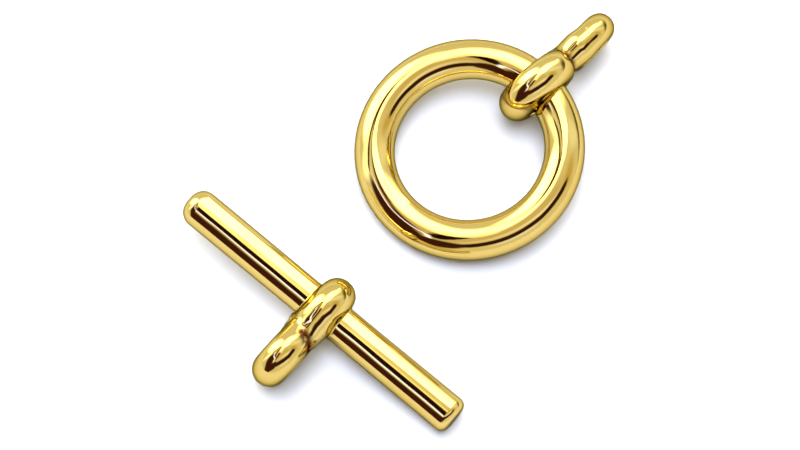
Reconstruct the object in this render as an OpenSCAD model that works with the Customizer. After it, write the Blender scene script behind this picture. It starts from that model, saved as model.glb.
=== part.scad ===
// Toggle clasp lying unfastened: a ring with a loose end link, and a bar with an end link soldered to it.
// Millimetres. Z is up from the surface that it lies on, and the origin is under the middle of the whole.

/* [Ring] */
// Outer diameter of the ring
ring_d = 14; // [11:0.5:22]
// Thickness of the round wire that the ring is made of
ring_wire = 2.45; // [1.8:0.05:3]

/* [Ring's end link] */
// Width of its large loop, which hangs loose on the ring
ring_loop_w = 2.2; // [1.6:0.05:3]
// Play all round between the ring's wire and the large loop, which lets the link lean over
ring_loop_play = 0.34; // [0.24:0.01:0.5]
// Diameter of the hole in its eye
ring_eye_d = 2.3; // [1.4:0.1:3]
// Width of its eye
ring_eye_w = 1.85; // [1.2:0.05:2.4]
// How far its eye is let into the large loop
ring_eye_sink = 0.45; // [0.2:0.05:0.7]
// How far its eye is soldered to one side of the large loop
ring_eye_shift = 0.26; // [0:0.01:0.4]
// How far its eye is soldered out of line with the large loop, in degrees
ring_eye_skew = 6; // [0:0.5:8]

/* [Bar] */
// Length of the bar over its rounded ends
bar_len = 20.6; // [17:0.1:34]
// Thickness of the bar just inside its ends
bar_end_d = 2.32; // [1.9:0.02:3]
// Thickness of the bar at its middle
bar_mid_d = 2.26; // [1.8:0.02:3]
// Radius of the rounding at the bar's low end
bar_low_round = 0.5; // [0.3:0.05:0.85]
// Radius of the rounding at the bar's high end, which is filed rounder
bar_high_round = 0.9; // [0.3:0.05:0.9]

/* [Bar's end link] */
// How far off the bar's middle it is soldered, towards the low end
bar_link_off = 0.2; // [0:0.05:0.5]
// Width of its large loop, which is soldered round the bar
bar_loop_w = 2.2; // [1.6:0.05:3]
// Thickness of the solder between the bar and the large loop
bar_loop_solder = 0.02; // [0:0.01:0.12]
// Diameter of the hole in its eye
bar_eye_d = 2.1; // [1.4:0.05:3]
// Width of its eye
bar_eye_w = 2.1; // [1.2:0.05:2.6]
// How far its eye is let into the large loop
bar_eye_sink = 0.75; // [0.2:0.05:0.85]
// How far it is soldered out of square with the bar, in degrees
bar_link_skew = 1.5; // [0:0.5:6]
// How far it is soldered leaning towards the bar's low end, in degrees
bar_link_cant = 7; // [0:0.5:8]

/* [Both links] */
// Rounding where a loop's flat inside meets its crowned outside
loop_edge = 0.06; // [0.03:0.01:0.12]
// How far the solder between a large loop and its eye stays inside the sides of both
solder_inset = 0.1; // [0.05:0.01:0.3]
// Thickness of the lump of solder beside the joint of the bar's link
lump_d = 0.9; // [0.6:0.05:1.2]

/* [How it lies] */
// Direction in which the ring's link points, in degrees from +X
ring_link_turn = 43; // [20:1:70]
// Direction in which the bar points, in degrees from +X
bar_turn = -39.5; // [-60:0.5:-20]
// Clear space between the ring and the bar's link
halves_gap = 4.45; // [2:0.05:12]

/* [Hidden] */
$fn = 96;

gold = "#e8bf57";
// how far the solder stays outside the two bores between which it lies
neck_bite = 0.3;
// how far inside the eye's side the middle of the lump lies
lump_bed = 0.2;
// the wire stays this much clear of the bore that it leans in
rest_gap = 0.05;

wire_r = ring_wire / 2;
ring_r = ring_d / 2 - wire_r;

// Ring's link: radii of bores and outlines, and the distance between its two loops
ring_bore_r = wire_r + ring_loop_play;
ring_eye_r = ring_eye_d / 2;
ring_loop_out = loop_outer_r(ring_bore_r, ring_loop_w);
ring_eye_out = loop_outer_r(ring_eye_r, ring_eye_w);
ring_pitch = ring_loop_out + ring_eye_out - ring_eye_sink;

// The wire bows across the bore, half to each side, and the link leans until its bore meets the wire,
// whose slanting section takes up some of the play too
ring_bore_half = ring_loop_w / 2 - loop_edge;
wire_bow = pow(ring_bore_half, 2) / (4 * ring_r);
straight_play = ring_loop_play - rest_gap - wire_bow;
wire_slant = wire_r * (1 / cos(atan(straight_play / ring_bore_half)) - 1);
ring_link_lean = atan((straight_play - wire_slant) / ring_bore_half);

// It stands on its two loops, so its long axis dips towards the smaller one
ring_loop_z = loop_height(ring_bore_r, ring_loop_w, ring_link_lean);
ring_eye_z = loop_height(ring_eye_r, ring_eye_w, ring_link_lean) - ring_eye_shift * sin(ring_link_lean);
ring_link_dip = asin((ring_loop_z - ring_eye_z) / ring_pitch);

// The large loop lifts the ring on that side, and the far side lies on the surface
ring_tilt = asin((ring_loop_z - wire_r) / (2 * ring_r - wire_bow));
ring_z = wire_r + ring_r * sin(ring_tilt);

// Bar and its link
bar_end_r = bar_end_d / 2;
bar_mid_r = bar_mid_d / 2;
bar_crown_r = bar_mid_r + bar_loop_solder;
// inside the bar, where the solid of the large loop starts
bar_core_r = bar_mid_r / 2;
bar_eye_r = bar_eye_d / 2;
bar_loop_out = bar_crown_r + bar_loop_w / 2;
bar_eye_out = loop_outer_r(bar_eye_r, bar_eye_w);
bar_pitch = bar_loop_out + bar_eye_out - bar_eye_sink;

// Where the circles that round the bar's ends have their middles, from its axis and from its middle
bar_low_side = bar_end_r - bar_low_round;
bar_low_reach = bar_len / 2 - bar_low_round;
bar_high_side = bar_end_r - bar_high_round;
bar_high_reach = bar_len / 2 - bar_high_round;

// The bar rests on its large loop and its low end: along * sin(tip) + across * cos(tip) = rise
along = bar_low_reach - bar_link_off + bar_crown_r * sin(bar_link_cant);
across = bar_low_side - bar_crown_r * cos(bar_link_cant);
rise = bar_loop_w / 2 - bar_low_round;
bar_tip = asin(rise / norm([along, across])) - atan2(across, along);
bar_link_lean = bar_tip + bar_link_cant;
bar_z = bar_crown_r * cos(bar_link_lean) + bar_loop_w / 2;
bar_eye_z = loop_height(bar_eye_r, bar_eye_w, bar_link_lean);
// roll about its own axis that brings the eye down on the surface too
bar_roll = asin(((bar_z - bar_eye_z) / bar_pitch + sin(bar_link_skew) * sin(bar_tip))
    / (cos(bar_link_skew) * cos(bar_tip)));

// Places seen from above, with the ring's middle at [0, 0]
ring_link_dir = flat_dir(ring_link_turn);
bar_dir = flat_dir(bar_turn);
bar_mid = -flat_dir(bar_turn + 90) * (ring_d / 2 + halves_gap + bar_loop_out);
loop_mid = ring_link_dir * (ring_r - wire_bow) * cos(ring_tilt);
eye_mid = loop_mid + ring_link_dir * ring_pitch * cos(ring_link_dip)
    + flat_dir(ring_link_turn + 90) * ring_eye_shift;

// Outline of the whole, seen from above, which the origin is centred under
eye_side = ring_eye_r + loop_edge;
high = [for (i = [0, 1]) max(
    eye_mid[i] + eye_side * ring_link_dir[i] + ring_eye_w / 2,
    ring_d / 2,
    bar_end_edge(i, 1, bar_low_reach - bar_link_off, bar_low_side, bar_low_round),
    bar_end_edge(i, 1, -bar_high_reach - bar_link_off, bar_high_side, bar_high_round))];
low = [for (i = [0, 1]) min(
    -ring_d / 2,
    bar_end_edge(i, -1, bar_low_reach - bar_link_off, bar_low_side, bar_low_round),
    bar_end_edge(i, -1, -bar_high_reach - bar_link_off, bar_high_side, bar_high_round))];
centre = (high + low) / 2;

// Edge of a rounded end of the bar along X (i = 0) or Y (i = 1), on the high (1) or low (-1) side
function bar_end_edge(i, side, reach, across, round) = bar_mid[i] + reach * bar_dir[i] * cos(bar_tip)
    + side * (across * sqrt(1 - pow(bar_dir[i] * cos(bar_tip), 2)) + round);
function flat_dir(turn) = [cos(turn), sin(turn)];
function loop_outer_r(bore_r, width) = bore_r + loop_edge + width / 2;
// height of a loop's middle above the surface when it stands on its crown, leaning over
function loop_height(bore_r, width, lean) = (bore_r + loop_edge) * cos(lean) + width / 2;

// Half-round crown on a circle of radius crown_at. In each section X is the radius.
module crown_section(crown_at, width) {
    intersection() {
        translate([crown_at, 0]) circle(width / 2);
        translate([crown_at, -width / 2]) square([width / 2, width]);
    }
}

// Section of a loop: flat inside, half-round outside, with eased edges
module loop_section(bore_r, width) {
    crown_section(bore_r + loop_edge, width);
    translate([bore_r, loop_edge - width / 2]) square([2 * loop_edge, width - 2 * loop_edge]);
    for (side = [-1, 1])
        translate([bore_r + loop_edge, side * (width / 2 - loop_edge)]) circle(loop_edge);
}

// Closed loop standing upright in the XZ plane
module loop(bore_r, width) {
    rotate([90, 0, 0]) rotate_extrude() loop_section(bore_r, width);
}

// Rounded neck of solder along X between two bores, inside the sides of a loop and of an eye shifted in Y
module solder_neck(bore_r, width, eye_r, eye_w, pitch, shift) {
    right = max(-width / 2, shift - eye_w / 2) + solder_inset;
    left = min(width / 2, shift + eye_w / 2) - solder_inset;
    from = bore_r + neck_bite;
    to = pitch - eye_r - neck_bite;
    translate([from, (left + right) / 2, 0]) rotate([0, 90, 0]) cylinder(h = to - from, d = left - right);
}

module toggle_ring() {
    color(gold)
        translate(-centre)
            rotate([0, 0, ring_link_turn])
                translate([0, 0, ring_z])
                    rotate([0, -ring_tilt, 0])
                        rotate_extrude() translate([ring_r, 0]) circle(wire_r);
}

module ring_link() {
    color(gold)
        translate([loop_mid[0] - centre[0], loop_mid[1] - centre[1], ring_loop_z])
            rotate([0, 0, ring_link_turn])
                rotate([0, ring_link_dip, 0])
                    rotate([ring_link_lean, 0, 0]) {
                        loop(ring_bore_r, ring_loop_w);
                        translate([ring_pitch, ring_eye_shift, 0])
                            rotate([0, 0, ring_eye_skew]) loop(ring_eye_r, ring_eye_w);
                        solder_neck(ring_bore_r, ring_loop_w, ring_eye_r, ring_eye_w,
                            ring_pitch, ring_eye_shift);
                    }
}

// The bar lies along X, thinnest at its middle, with its low end towards +X
module bar_body() {
    translate([-bar_link_off, 0, 0]) rotate([0, 90, 0]) rotate_extrude() {
        polygon([
            [0, -bar_len / 2], [bar_high_side, -bar_len / 2],
            [bar_high_side, -bar_high_reach], [bar_end_r, -bar_high_reach],
            [bar_mid_r, 0],
            [bar_end_r, bar_low_reach], [bar_low_side, bar_low_reach],
            [bar_low_side, bar_len / 2], [0, bar_len / 2]
        ]);
        intersection() {
            union() {
                translate([bar_high_side, -bar_high_reach]) circle(bar_high_round);
                translate([bar_low_side, bar_low_reach]) circle(bar_low_round);
            }
            translate([0, -bar_len / 2]) square([bar_end_r, bar_len]);
        }
    }
}

// The large loop, whose solder fills it solid round the bar
module bar_loop() {
    rotate([90, 0, 0]) rotate_extrude() {
        crown_section(bar_crown_r, bar_loop_w);
        translate([bar_core_r, -bar_loop_w / 2]) square([bar_crown_r - bar_core_r, bar_loop_w]);
    }
}

module bar_end_link() {
    rotate([0, 0, -90 - bar_link_skew]) rotate([-bar_link_cant, 0, 0]) {
        bar_loop();
        translate([bar_pitch, 0, 0]) loop(bar_eye_r, bar_eye_w);
        solder_neck(bar_crown_r, bar_loop_w, bar_eye_r, bar_eye_w, bar_pitch, 0);
        translate([bar_loop_out - bar_eye_sink, lump_bed - bar_eye_w / 2, 0]) sphere(d = lump_d);
    }
}

module toggle_bar() {
    color(gold)
        translate([bar_mid[0] - centre[0], bar_mid[1] - centre[1], bar_z])
            rotate([0, 0, bar_turn])
                rotate([0, bar_tip, 0])
                    rotate([bar_roll, 0, 0]) {
                        bar_body();
                        bar_end_link();
                    }
}

toggle_ring();
ring_link();
toggle_bar();
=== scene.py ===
import itertools
import math

import bpy
import numpy as np
from mathutils import Matrix, Vector


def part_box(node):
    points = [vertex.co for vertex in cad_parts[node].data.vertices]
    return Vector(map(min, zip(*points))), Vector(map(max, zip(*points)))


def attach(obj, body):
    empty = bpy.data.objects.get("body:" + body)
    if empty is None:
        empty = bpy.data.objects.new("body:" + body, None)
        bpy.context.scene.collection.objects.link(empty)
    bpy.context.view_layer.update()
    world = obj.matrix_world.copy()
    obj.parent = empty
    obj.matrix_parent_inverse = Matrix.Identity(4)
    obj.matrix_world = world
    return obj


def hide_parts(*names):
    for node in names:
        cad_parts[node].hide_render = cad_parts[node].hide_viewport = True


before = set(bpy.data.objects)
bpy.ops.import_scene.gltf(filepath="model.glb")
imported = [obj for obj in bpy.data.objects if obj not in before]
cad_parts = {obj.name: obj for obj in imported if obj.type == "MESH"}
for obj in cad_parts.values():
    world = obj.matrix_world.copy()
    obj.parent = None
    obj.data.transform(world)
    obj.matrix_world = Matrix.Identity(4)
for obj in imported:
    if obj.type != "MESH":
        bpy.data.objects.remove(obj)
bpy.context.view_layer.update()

MM = 0.001

# The camera stands on the -Y side and looks down at the clasp
IMAGE_WIDTH = 800
MM_PER_PIXEL = 0.0606
CAMERA_ELEVATION = 67.8
CAMERA_DISTANCE = 202 * MM
SENSOR_WIDTH = 36
CLIP_START, CLIP_END = 0.01, 10
# where the picture's centre meets the floor, seen from the middle of the ring
CENTRE_FROM_RING = (-4.20 * MM, -4.17 * MM)

# The stage, in metres
FLOOR_HALF = 0.6
SHEET_RISE = 0.01 * MM
WALL_RADIUS = 0.6
WALL_HEIGHT = 0.8
WALL_SIDES = 64
WALL_LIGHT = 1.0

# Light of the studio, as seen from the clasp. Places are degrees east and degrees north of straight up.
# Each panel and strip covers those before it.
DOME_LIGHT = (0.78, 0.72, 0.58)
# Soft panels: middle, half sizes, counterclockwise turn, softness of the edge, light
PANELS = (
    ((-44, 40), (26, 21), -20, 0.32, (4.8, 4.2, 3.0)),      # bright, north-west
    ((12, 38), (27, 11), 26, 0.83, (4.9, 4.3, 3.0)),        # bright, north
    ((73, 39), (33, 8), -55, 0.71, (0.13, 0.11, 0.013)),    # dark, low in the east
    ((31, -60), (23, 6), 28, 0.27, (0.93, 0.92, 1.2)),      # pale, low in the south
    ((-5, -19), (46, 25), -8, 0.20, (0.69, 0.56, 0.37)),    # ochre, large, south of the top
    ((28, -21), (35, 6), 23, 0.90, (1.03, 1.0, 0.92)),      # pale, south-east
    ((-2, 22), (7, 21), -19, 0.95, (4.3, 3.7, 2.7)),        # bright, close to the top
    ((-60, 10), (25, 9), 10, 0.50, (1.5, 1.5, 1.4)),        # pale, west
    ((50, -3), (19, 10), -20, 0.60, (0.64, 0.50, 0.20)),    # dull yellow, east
    ((44, 21), (25, 8), 12, 0.60, (0.98, 0.95, 0.85)),      # pale, north-east
)
# Strips: points along the middle, half width, softness of the edge, light
STRIPS = (
    # bright, from the north-east to the top
    (((38, 63), (15, 20), (6, 15)), 3.8, 0.34, (4.2, 3.6, 2.7)),
    # dark brown, from the south to the east
    (((-7, -55), (19, -48), (39, -35), (48, -16)), 10.4, 0.30, (0.037, 0.010, 0.004)),
    # dark red and broad, from the west to the south
    (((-46, -14), (-51, -21), (-57, -59), (-28, -56)), 18.0, 0.25, (0.051, 0.013, 0.009)),
    # dark red and thin, beside the top
    (((-17, 12), (-25, 5), (-30, -16)), 2.6, 0.60, (0.075, 0.017, 0.002)),
    # dark brown and thin, from the west to the top
    (((-45, 8), (-36, 13), (-24, 18), (-18, 19), (-13, 16)), 2.3, 0.50, (0.05, 0.022, 0.005)),
    # short and pale, by the top
    (((-9, 0), (-5, -7)), 2.6, 0.60, (1.4, 1.3, 0.9)),
    # black, south-west
    (((-13, -10), (-19, -21), (-24, -27)), 4.4, 0.25, (0.012, 0.003, 0.001)),
    # white and thin, along the black one and the broad red one
    (((-35, 4), (-37, -8), (-31, -20), (-27, -25), (-31, -37)), 2.0, 0.45, (1.35, 1.45, 2.9)),
)

# Key lamp: degrees off straight up, degrees that this tilt is turned by, softness in degrees
KEY_TILT, KEY_TURN, KEY_SPREAD = 3, -14, 34
KEY_STRENGTH = 3.0
# a bluish white, because the dome's light is warm
FLOOR_WHITE = (0.66, 0.725, 0.89)
# darker copy of the floor that only the gold mirrors: painted shade in the gold's reflection of the floor
FLOOR_SEEN_IN_GOLD = (0.45, 0.45, 0.45)

# The metal: polished gold and its slightly deeper patches, and the dark brown painted into the links' seams
# as painted shade and reflection
GOLD = (0.90, 0.72, 0.26)
GOLD_PATCH = (0.88, 0.69, 0.23)
GOLD_AT_EDGE = (0.18, 0.175, 0.13)
# painted shade and reflection: the dark brown put into the links' seams
SEAM_SHADE_BROWN = (0.15, 0.035, 0.010)
POLISH, POLISH_SPREAD, SEAM_ROUGHNESS = 0.03, 0.05, 0.30
PATCH_SIZE, RIPPLE_SIZE, SCRATCH_SIZE, PIT_SIZE = 3.0 * MM, 2.2 * MM, 0.12 * MM, 0.30 * MM
PATCH_DETAIL, RIPPLE_DETAIL, SCRATCH_DETAIL, PIT_DETAIL = 2, 0, 3, 4
SCRATCH_STRETCH = (1, 6, 1)
# values of the noise between which a patch, or the broken edge of the painted seam shade, comes up
PATCH_EDGE, SEAM_SHADE_EDGE = (0.40, 0.65), (0.25, 0.52)
# in millimetres
RIPPLE_HEIGHT, PIT_HEIGHT = 0.012, 0.03

# The links, in millimetres and degrees. Each lies in its own frame: its large loop's middle is the
# origin, its eye lies towards +X, and both loops stand upright in the XZ plane.
EDGE = 0.06
RING_LINK_AT, RING_LINK_TURN, RING_LINK_DIP, RING_LINK_LEAN = (8.2369, 8.3047, 2.6928), 43, 8.26, 11.42
RING_LOOP_BORE, RING_LOOP_WIDTH = 1.565, 2.2
RING_EYE_BORE, RING_EYE_WIDTH = 1.15, 1.85
RING_EYE_AT, RING_EYE_SKEW = (4.41, 0.26, 0), 6
# the large loop's flat end, and how round its edge is
RING_LOOP_END, RING_LOOP_END_ROUND = 1.98, 0.3
# the stem and the web that join the eye to the large loop: rods with their radius
RING_STEM = ((1.75, 0.06, 0.40), (3.20, 0.20, 1.10), 0.86)
RING_WEB = ((1.80, 0.42, 0.35), (3.45, 0.50, 0.55), 0.60)
BAR_AT, BAR_TURN, BAR_TIP, BAR_ROLL = (-4.632, -6.141, 2.219), -39.5, 6.357, 1.57
BAR_LINK_TURN, BAR_LINK_CANT = -91.5, -7
BAR_RADIUS = 1.13
BAR_LOOP_CROWN, BAR_LOOP_WIDTH = 1.15, 2.2
BAR_EYE_BORE, BAR_EYE_WIDTH = 1.05, 2.1
BAR_EYE_AT = (3.66, 0, 0)
# solder that lengthens the large loop up to the seam, and the web beside it: rods with their radius
BAR_STEM = ((1.30, 0.10, 0.75), (2.05, 0.15, 0.70), 0.95)
BAR_WEB = ((1.5, -0.45, 0.3), (3.0, -0.45, 0.3), 0.45)
# lumps of solder beside the seam: middle and radius of each, and how much longer than a ball it is
SOLDER_LUMPS = (((1.75, -0.85, 0.55), 0.34), ((2.05, -0.70, 0.95), 0.26), ((1.40, -0.98, 0.15), 0.26),
                ((2.45, -0.25, 1.35), 0.20), ((2.15, -0.92, 0.45), 0.22))
LUMP_LENGTH = 0.01
# how far the bar's dressed link stands out from its solid, and how deep it is let into the bar
SKIN = 0.012
BAR_LET_IN = 0.03
# corners of the space that the bar's link takes up in its own frame
BAR_LINK_LOW, BAR_LINK_HIGH = (-2.3, -1.2, -2.3), (5.9, 1.2, 2.3)

# Fillets, in millimetres
STEM_FILLET, WEB_FILLET, LUMP_FILLET, BAR_FILLET = 0.5, 0.35, 0.18, 0.22
# between large loop and eye: the seam's own fillet, how much it grows, and where across the link
RING_SEAM_FILLET = (0.05, 0.5, 0.1, 0.9)
BAR_SEAM_FILLET = (0.12, 0.5, -0.3, 0.8)

# Painted shade along the crease of the ring link's seam, dark brown in the gold's colour: its middle beyond
# the loop's end, its width, how deep under the loop's surface it starts and is full, and where across the
# link it fades out
RING_SEAM_SHADE_MIDDLE, RING_SEAM_SHADE_WIDTH = 0.12, 0.18
RING_SEAM_SHADE_DEPTHS = (-0.45, -0.1)
RING_SEAM_SHADE_END = (0.4, 0.8)
# where the bar link's seam gets painted shade and reflection in dark brown, with pits and roughness: a rod
# with its radius, and how far it fades
BAR_SEAM_SHADE = ((2.30, 0.05, 1.60), (2.60, 0.95, 1.10), 0.22)
BAR_SEAM_SHADE_FADE = 0.20

# Meshing, in millimetres
MESH_STEP = 0.06
SLOPE_STEP = 0.002
SURFACE_ROUNDS = 5
RING_LINK_MARGIN, BAR_LINK_MARGIN = 0.2, 0.3


def placed(at, *turns):
    """Matrix of a frame at a place, turned about its own axes in the order in which they are named."""
    matrix = Matrix.Translation(at)
    for axis, degrees in turns:
        matrix = matrix @ Matrix.Rotation(math.radians(degrees), 4, axis)
    return matrix


def seen_from(points, matrix):
    """The points in a frame's own coordinates."""
    inverse = np.array(matrix.inverted())
    return points @ inverse[:3, :3].T + inverse[:3, 3]


def ramp(values, low, high):
    """0 up to low and 1 from high on, smooth in between."""
    share = np.clip((values - low) / (high - low), 0, 1)
    return share * share * (3 - 2 * share)


def join(a, b, fillet):
    """Distance to two shapes together, with a fillet of about this size where they meet."""
    share = np.clip(0.5 + 0.5 * (b - a) / fillet, 0, 1)
    return b + (a - b) * share - fillet * share * (1 - share)


def seam_fillet(across, sharpest, growth, start, stop):
    """Fillet that grows across a link, from a sharp seam to metal that flows over."""
    return sharpest + growth * ramp(across, start, stop)


def loop_distance(points, bore, width):
    """Distance to a loop in the XZ plane that is flat inside and half-round outside."""
    radius = np.hypot(points[:, 0], points[:, 2])
    crown = np.hypot(np.maximum(radius - bore - EDGE, 0), points[:, 1]) - width / 2
    return -join(-crown, radius - bore, 2 * EDGE)


def rod_distance(points, start, end, radius):
    """Distance to a round rod with round ends."""
    start, end = np.array(start), np.array(end)
    axis = end - start
    share = np.clip((points - start) @ axis / (axis @ axis), 0, 1)
    return np.linalg.norm(points - start - share[:, None] * axis, axis=1) - radius


def drilled(solid, points, at, bore):
    """The shape with a clear hole along Y through this place."""
    return -join(-solid, np.hypot(points[:, 0] - at[0], points[:, 2] - at[2]) - bore, 2 * EDGE)


def slope(field, points):
    """How fast the field grows along X, Y and Z."""
    steps = np.eye(3) * SLOPE_STEP
    return np.stack([(field(points + d) - field(points - d)) / (2 * SLOPE_STEP) for d in steps], 1)


def surface_grid(inside):
    """Cells of a grid of points that the surface passes through, and four-sided faces between them."""
    count = sum(inside[i:i - 1 or None, j:j - 1 or None, k:k - 1 or None].astype(int)
                for i, j, k in itertools.product((0, 1), repeat=3))
    crossed = (count > 0) & (count < 8)
    index = np.full(crossed.shape, -1)
    index[crossed] = np.arange(crossed.sum())
    faces = []
    for axis in range(3):
        before = np.take(inside, range(inside.shape[axis] - 1), axis)
        after = np.take(inside, range(1, inside.shape[axis]), axis)
        u, v = (axis + 1) % 3, (axis + 2) % 3
        for leaving in (True, False):
            place = np.argwhere((before & ~after) if leaving else (~before & after))
            inner = [(place[:, side] > 0) & (place[:, side] < index.shape[side]) for side in (u, v)]
            place = place[inner[0] & inner[1]]
            quad = []
            for du, dv in ((1, 1), (0, 1), (0, 0), (1, 0)):
                cell = place.copy()
                cell[:, u] -= du
                cell[:, v] -= dv
                quad.append(index[tuple(cell.T)])
            quad = np.stack(quad if leaving else quad[::-1], 1)
            faces.append(quad[(quad >= 0).all(1)])
    return crossed, np.concatenate(faces)


def field_mesh(name, field, low, high, hidden=None):
    """Piece with the surface on which the field is 0 and the field's own normals, and its points.

    The field takes millimetres, and the points are in them. Faces all of whose points are hidden
    are left out.
    """
    sides = [np.arange(a, b + MESH_STEP, MESH_STEP) for a, b in zip(low, high)]
    grid = np.stack(np.meshgrid(*sides, indexing="ij"), -1)
    inside = (field(grid.reshape(-1, 3)) < 0).reshape(grid.shape[:3])
    crossed, faces = surface_grid(inside)
    points = grid[:-1, :-1, :-1][crossed] + MESH_STEP / 2
    for _ in range(SURFACE_ROUNDS):
        grown = slope(field, points)
        points = points - grown * (field(points) / (grown * grown).sum(1))[:, None]
    if hidden is not None:
        faces = faces[~hidden(points)[faces].all(1)]
        used, faces = np.unique(faces, return_inverse=True)
        points, faces = points[used], faces.reshape(-1, 4)
    normals = slope(field, points)
    normals /= np.linalg.norm(normals, axis=1)[:, None]
    mesh = bpy.data.meshes.new(name)
    mesh.from_pydata((points * MM).tolist(), [], faces.tolist())
    mesh.shade_smooth()
    mesh.normals_split_custom_set_from_vertices(normals.tolist())
    piece = bpy.data.objects.new(name, mesh)
    bpy.context.scene.collection.objects.link(piece)
    return piece, points


def seam_shade_and_pits(piece, amounts):
    """Stores how far each point of the piece takes the seam's painted shade, pits and roughness, for the
    gold's material.
    """
    attribute = piece.data.attributes.new("seam_shade_and_pits", "FLOAT", "POINT")
    attribute.data.foreach_set("value", amounts.astype(np.float32))


def ring_link(metal):
    """The ring's link, whose loops flow together on one side and leave a seam on the other."""
    frame_of_link = placed(RING_LINK_AT, ("Z", RING_LINK_TURN), ("Y", RING_LINK_DIP), ("X", RING_LINK_LEAN))
    frame_of_eye = frame_of_link @ placed(RING_EYE_AT, ("Z", RING_EYE_SKEW))

    def field(points):
        local = seen_from(points, frame_of_link)
        large = loop_distance(local, RING_LOOP_BORE, RING_LOOP_WIDTH)
        large = -join(-large, RING_LOOP_END - local[:, 0], RING_LOOP_END_ROUND)
        eye = loop_distance(seen_from(points, frame_of_eye), RING_EYE_BORE, RING_EYE_WIDTH)
        eye = join(eye, rod_distance(local, *RING_STEM), STEM_FILLET)
        solid = join(large, eye, seam_fillet(local[:, 1], *RING_SEAM_FILLET))
        solid = join(solid, rod_distance(local, *RING_WEB), WEB_FILLET)
        solid = drilled(solid, local, (0, 0, 0), RING_LOOP_BORE)
        return drilled(solid, local, RING_EYE_AT, RING_EYE_BORE)

    low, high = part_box("ring_link")
    piece, points = field_mesh("ring_link_soldered", field, np.array(low) / MM - RING_LINK_MARGIN,
                               np.array(high) / MM + RING_LINK_MARGIN)
    local = seen_from(points, frame_of_link)
    # paint shade along the crease of the seam: dark brown in the gold's colour, with pits and roughness
    off_seam = (local[:, 0] - RING_LOOP_END - RING_SEAM_SHADE_MIDDLE) / RING_SEAM_SHADE_WIDTH
    by_surface = ramp(loop_distance(local, RING_LOOP_BORE, RING_LOOP_WIDTH), *RING_SEAM_SHADE_DEPTHS)
    seam_shade_and_pits(piece, np.exp(-off_seam ** 2) * by_surface * (1 - ramp(local[:, 1], *RING_SEAM_SHADE_END)))
    piece.data.materials.append(metal)
    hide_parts("ring_link")
    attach(piece, "ring_link")


def bar_link(metal):
    """The bar's link with its lumpy solder, laid over the solid and let into the bar."""
    frame_of_bar = placed(BAR_AT, ("Z", BAR_TURN), ("Y", BAR_TIP), ("X", BAR_ROLL))
    frame_of_link = frame_of_bar @ placed((0, 0, 0), ("Z", BAR_LINK_TURN), ("X", BAR_LINK_CANT))
    frame_of_eye = frame_of_link @ placed(BAR_EYE_AT)

    def bar_core(points):
        along = seen_from(points, frame_of_bar)
        return np.hypot(along[:, 1], along[:, 2]) - BAR_RADIUS + BAR_LET_IN

    def in_bar(points):
        return bar_core(points) < BAR_LET_IN / 3

    def field(points):
        local = seen_from(points, frame_of_link)
        radius = np.hypot(local[:, 0], local[:, 2])
        large = np.hypot(np.maximum(radius - BAR_LOOP_CROWN, 0), local[:, 1]) - BAR_LOOP_WIDTH / 2
        large = join(large, rod_distance(local, *BAR_STEM), STEM_FILLET)
        eye = loop_distance(seen_from(points, frame_of_eye), BAR_EYE_BORE, BAR_EYE_WIDTH)
        link = join(large, eye, seam_fillet(-local[:, 1], *BAR_SEAM_FILLET)) - SKIN
        link = join(link, rod_distance(local, *BAR_WEB), WEB_FILLET)
        for place, size in SOLDER_LUMPS:
            lump = rod_distance(local, place, np.array(place) + (0, 0, LUMP_LENGTH), size)
            link = join(link, lump, LUMP_FILLET)
        link = drilled(link, local, BAR_EYE_AT, BAR_EYE_BORE)
        return join(link, bar_core(points), BAR_FILLET)

    space = itertools.product(*zip(BAR_LINK_LOW, BAR_LINK_HIGH))
    corners = np.array([frame_of_link @ Vector(corner) for corner in space])
    piece, points = field_mesh("bar_link_soldered", field, corners.min(0) - BAR_LINK_MARGIN,
                               corners.max(0) + BAR_LINK_MARGIN, in_bar)
    # paint shade and reflection at the seam: dark brown in the gold's colour, with pits and roughness
    off_bar_seam_shade = np.maximum(rod_distance(seen_from(points, frame_of_link), *BAR_SEAM_SHADE), 0) / BAR_SEAM_SHADE_FADE
    seam_shade_and_pits(piece, np.exp(-off_bar_seam_shade ** 2))
    piece.data.materials.append(metal)
    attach(piece, "clasp")


def shaded(owner, shader_kind, output_kind="ShaderNodeOutputMaterial"):
    """Gives a material or world a single shader, and returns its node tree and that shader."""
    owner.use_nodes = True
    tree = owner.node_tree
    tree.nodes.clear()
    shader = tree.nodes.new(shader_kind)
    out = tree.nodes.new(output_kind)
    tree.links.new(shader.outputs[0], out.inputs["Surface"])
    return tree, shader


def put(tree, socket, value):
    """Links a socket's value if it is an output, or else sets it."""
    if isinstance(value, bpy.types.NodeSocket):
        tree.links.new(value, socket)
    elif value is not None:
        socket.default_value = value


def math_node(tree, operation, a, b=None, clamp=False):
    """Output of a Math node whose inputs are numbers or sockets."""
    node = tree.nodes.new("ShaderNodeMath")
    node.operation = operation
    node.use_clamp = clamp
    for socket, value in zip(node.inputs, (a, b)):
        put(tree, socket, value)
    return node.outputs[0]


def weighted_sum(tree, a, weight_a, b, weight_b):
    return math_node(tree, "ADD", math_node(tree, "MULTIPLY", a, weight_a),
                     math_node(tree, "MULTIPLY", b, weight_b))


def length(tree, a, b):
    """Length of the flat vector of these two parts."""
    return math_node(tree, "SQRT", weighted_sum(tree, a, a, b, b))


def ease(tree, value, low, high, start=0, end=1):
    """Start where value is under low, end where it is over high, smooth in between."""
    node = tree.nodes.new("ShaderNodeMapRange")
    node.interpolation_type = "SMOOTHSTEP"
    put(tree, node.inputs["Value"], value)
    for name, number in (("From Min", low), ("From Max", high), ("To Min", start), ("To Max", end)):
        node.inputs[name].default_value = number
    return node.outputs["Result"]


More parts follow.
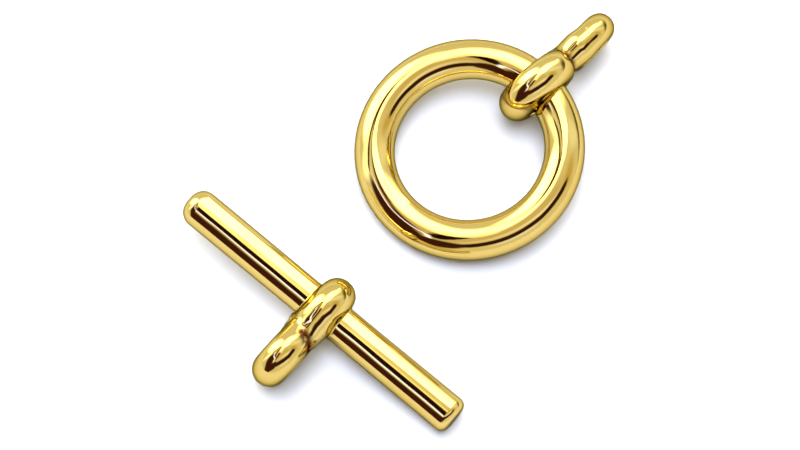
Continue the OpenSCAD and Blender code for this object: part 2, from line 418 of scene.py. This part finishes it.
def blend_colour(tree, share, below, above):
    """Mix of two colours, each a socket or three numbers."""
    node = tree.nodes.new("ShaderNodeMix")
    node.data_type = "RGBA"
    node.clamp_factor = True
    colour = [s for s in node.inputs if s.type == "RGBA"]
    put(tree, node.inputs["Factor"], share)
    for socket, value in zip(colour, (below, above)):
        put(tree, socket, value if isinstance(value, bpy.types.NodeSocket) else (*value, 1))
    return next(s for s in node.outputs if s.type == "RGBA")


def dome_places(tree):
    """Degrees east and north of straight up for each direction of the dome."""
    coords = tree.nodes.new("ShaderNodeTexCoord")
    split = tree.nodes.new("ShaderNodeSeparateXYZ")
    tree.links.new(coords.outputs["Generated"], split.inputs[0])
    x, y, z = split.outputs
    flat = length(tree, x, y)
    angle = math_node(tree, "MULTIPLY", math_node(tree, "ARCTAN2", flat, z), math.degrees(1))
    share = math_node(tree, "DIVIDE", angle, math_node(tree, "MAXIMUM", flat, 1e-6))
    return math_node(tree, "MULTIPLY", x, share), math_node(tree, "MULTIPLY", y, share)


def ellipse_reach(tree, east, north, middle, half, turn):
    """1 on the edge of an ellipse in the dome's degrees, 0 in its middle."""
    dx = math_node(tree, "SUBTRACT", east, middle[0])
    dy = math_node(tree, "SUBTRACT", north, middle[1])
    c, s = math.cos(math.radians(turn)), math.sin(math.radians(turn))
    return length(tree, weighted_sum(tree, dx, c / half[0], dy, s / half[0]),
                  weighted_sum(tree, dy, c / half[1], dx, -s / half[1]))


def strip_reach(tree, east, north, points, half_width):
    """1 on the edge of a strip with round ends in the dome's degrees, 0 along its middle."""
    reach = None
    for (x0, y0), (x1, y1) in zip(points, points[1:]):
        dx, dy = x1 - x0, y1 - y0
        length2 = dx * dx + dy * dy
        from_x = math_node(tree, "SUBTRACT", east, x0)
        from_y = math_node(tree, "SUBTRACT", north, y0)
        share = weighted_sum(tree, from_x, dx / length2, from_y, dy / length2)
        share = math_node(tree, "ADD", share, 0, clamp=True)
        gap = length(tree, math_node(tree, "SUBTRACT", from_x, math_node(tree, "MULTIPLY", share, dx)),
                     math_node(tree, "SUBTRACT", from_y, math_node(tree, "MULTIPLY", share, dy)))
        reach = gap if reach is None else math_node(tree, "MINIMUM", reach, gap)
    return math_node(tree, "DIVIDE", reach, half_width)


def light_dome():
    """The studio's light from all sides, which the polished metal mirrors as stripes."""
    world = bpy.data.worlds.new("studio_dome")
    bpy.context.scene.world = world
    tree, background = shaded(world, "ShaderNodeBackground", "ShaderNodeOutputWorld")
    east, north = dome_places(tree)
    shapes = [(ellipse_reach(tree, east, north, *panel[:3]), *panel[3:]) for panel in PANELS]
    shapes += [(strip_reach(tree, east, north, *strip[:2]), *strip[2:]) for strip in STRIPS]
    colour = DOME_LIGHT
    for reach, soft, light in shapes:
        colour = blend_colour(tree, ease(tree, reach, 1 - soft, 1 + soft, 1, 0), colour, light)
    put(tree, background.inputs["Color"], colour)


def key_lamp():
    """Lights the floor from almost straight above, so that a soft shadow lies under the clasp."""
    lamp = bpy.data.lights.new("key", "SUN")
    lamp.energy = KEY_STRENGTH
    lamp.angle = math.radians(KEY_SPREAD)
    piece = bpy.data.objects.new("key", lamp)
    piece.rotation_euler = (math.radians(KEY_TILT), 0, math.radians(KEY_TURN))
    piece.visible_glossy = False
    bpy.context.scene.collection.objects.link(piece)


def noise(tree, size, detail, stretch=None):
    """Soft noise from 0 to 1 whose lumps have about this size, stretched by a factor along each axis."""
    coords = tree.nodes.new("ShaderNodeTexCoord")
    node = tree.nodes.new("ShaderNodeTexNoise")
    node.inputs["Scale"].default_value = 1 / size
    node.inputs["Detail"].default_value = detail
    place = coords.outputs["Object"]
    if stretch:
        mapping = tree.nodes.new("ShaderNodeMapping")
        mapping.inputs["Scale"].default_value = [1 / s for s in stretch]
        tree.links.new(place, mapping.inputs["Vector"])
        place = mapping.outputs[0]
    tree.links.new(place, node.inputs["Vector"])
    return node.outputs[0]


def gold():
    """Polished gold with faint patches, ripples and wear, and painted dark brown shade, with pits and
    roughness, where a piece's seam is marked.
    """
    material = bpy.data.materials.new("polished_gold")
    tree, shader = shaded(material, "ShaderNodeBsdfPrincipled")
    shader.inputs["Metallic"].default_value = 1
    shader.inputs["Specular Tint"].default_value = (*GOLD_AT_EDGE, 1)
    stored = tree.nodes.new("ShaderNodeAttribute")
    stored.attribute_name = "seam_shade_and_pits"
    pits = noise(tree, PIT_SIZE, PIT_DETAIL)
    # painted shade: where a seam is marked, the gold turns dark brown in broken patches
    seam_shade_and_wear = math_node(tree, "MULTIPLY", stored.outputs["Fac"], ease(tree, pits, *SEAM_SHADE_EDGE))
    patches = ease(tree, noise(tree, PATCH_SIZE, PATCH_DETAIL), *PATCH_EDGE)
    bare_gold = blend_colour(tree, patches, GOLD, GOLD_PATCH)
    put(tree, shader.inputs["Base Color"], blend_colour(tree, seam_shade_and_wear, bare_gold, SEAM_SHADE_BROWN))
    scratches = noise(tree, SCRATCH_SIZE, SCRATCH_DETAIL, SCRATCH_STRETCH)
    wear = weighted_sum(tree, scratches, POLISH_SPREAD, seam_shade_and_wear, SEAM_ROUGHNESS)
    put(tree, shader.inputs["Roughness"], math_node(tree, "ADD", wear, POLISH))
    pitted = math_node(tree, "MULTIPLY", stored.outputs["Fac"], pits)
    ripples = noise(tree, RIPPLE_SIZE, RIPPLE_DETAIL)
    bump = tree.nodes.new("ShaderNodeBump")
    bump.inputs["Distance"].default_value = MM
    put(tree, bump.inputs["Height"], weighted_sum(tree, ripples, RIPPLE_HEIGHT, pitted, PIT_HEIGHT))
    tree.links.new(bump.outputs[0], shader.inputs["Normal"])
    return material


def matt(name, colour):
    material = bpy.data.materials.new(name)
    shader = shaded(material, "ShaderNodeBsdfDiffuse")[1]
    shader.inputs["Color"].default_value = (*colour, 1)
    return material


def glow(name, strength):
    material = bpy.data.materials.new(name)
    shader = shaded(material, "ShaderNodeEmission")[1]
    shader.inputs["Strength"].default_value = strength
    return material


def stage_mesh(name, points, faces, material):
    mesh = bpy.data.meshes.new(name)
    mesh.from_pydata(points, [], faces)
    mesh.materials.append(material)
    piece = bpy.data.objects.new(name, mesh)
    bpy.context.scene.collection.objects.link(piece)
    return piece


def floor():
    """White floor, with a greyer sheet on it that only the gold mirrors: painted shade on the floor as the
    gold reflects it.
    """
    corners = [(x * FLOOR_HALF, y * FLOOR_HALF) for x, y in ((-1, -1), (1, -1), (1, 1), (-1, 1))]
    table = stage_mesh("floor", [(x, y, 0) for x, y in corners], [(0, 1, 2, 3)],
                       matt("white_floor", FLOOR_WHITE))
    table.visible_glossy = False
    # the sheet's grey is painted shade on the floor as the gold reflects it
    sheet = stage_mesh("floor_in_gold", [(x, y, SHEET_RISE) for x, y in corners], [(0, 1, 2, 3)],
                       matt("grey_floor", FLOOR_SEEN_IN_GOLD))
    sheet.visible_camera = sheet.visible_diffuse = sheet.visible_shadow = False


def backdrop():
    """Round white wall, seen only by the camera."""
    turns = [2 * math.pi * i / WALL_SIDES for i in range(WALL_SIDES)]
    ring = [(WALL_RADIUS * math.cos(t), WALL_RADIUS * math.sin(t)) for t in turns]
    points = [(x, y, z) for z in (-WALL_HEIGHT, WALL_HEIGHT) for x, y in ring]
    faces = [(i, (i + 1) % WALL_SIDES, WALL_SIDES + (i + 1) % WALL_SIDES, WALL_SIDES + i)
             for i in range(WALL_SIDES)]
    wall = stage_mesh("backdrop", points, faces, glow("white_wall", WALL_LIGHT))
    wall.visible_glossy = wall.visible_diffuse = wall.visible_shadow = False


def camera():
    """Camera at the photograph's angle, aimed from the middle of the ring."""
    low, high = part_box("toggle_ring")
    middle = (low + high) / 2
    aim = Vector((middle.x + CENTRE_FROM_RING[0], middle.y + CENTRE_FROM_RING[1], 0))
    rise = math.radians(CAMERA_ELEVATION)
    data = bpy.data.cameras.new("camera")
    data.sensor_width = SENSOR_WIDTH
    data.lens = SENSOR_WIDTH * CAMERA_DISTANCE / (IMAGE_WIDTH * MM_PER_PIXEL * MM)
    data.clip_start, data.clip_end = CLIP_START, CLIP_END
    piece = bpy.data.objects.new("camera", data)
    piece.location = aim + Vector((0, -math.cos(rise), math.sin(rise))) * CAMERA_DISTANCE
    piece.rotation_euler = (math.pi / 2 - rise, 0, 0)
    bpy.context.scene.collection.objects.link(piece)
    bpy.context.scene.camera = piece


def dress_cad(metal):
    """Gives every CAD node the gold, through its object's material slots."""
    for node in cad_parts.values():
        for slot in node.material_slots:
            slot.material = metal


camera()
light_dome()
floor()
backdrop()
key_lamp()
metal = gold()
dress_cad(metal)
ring_link(metal)
bar_link(metal)

# colours are shown as they are lit, so that the floor stays white
bpy.context.scene.view_settings.view_transform = "Standard"
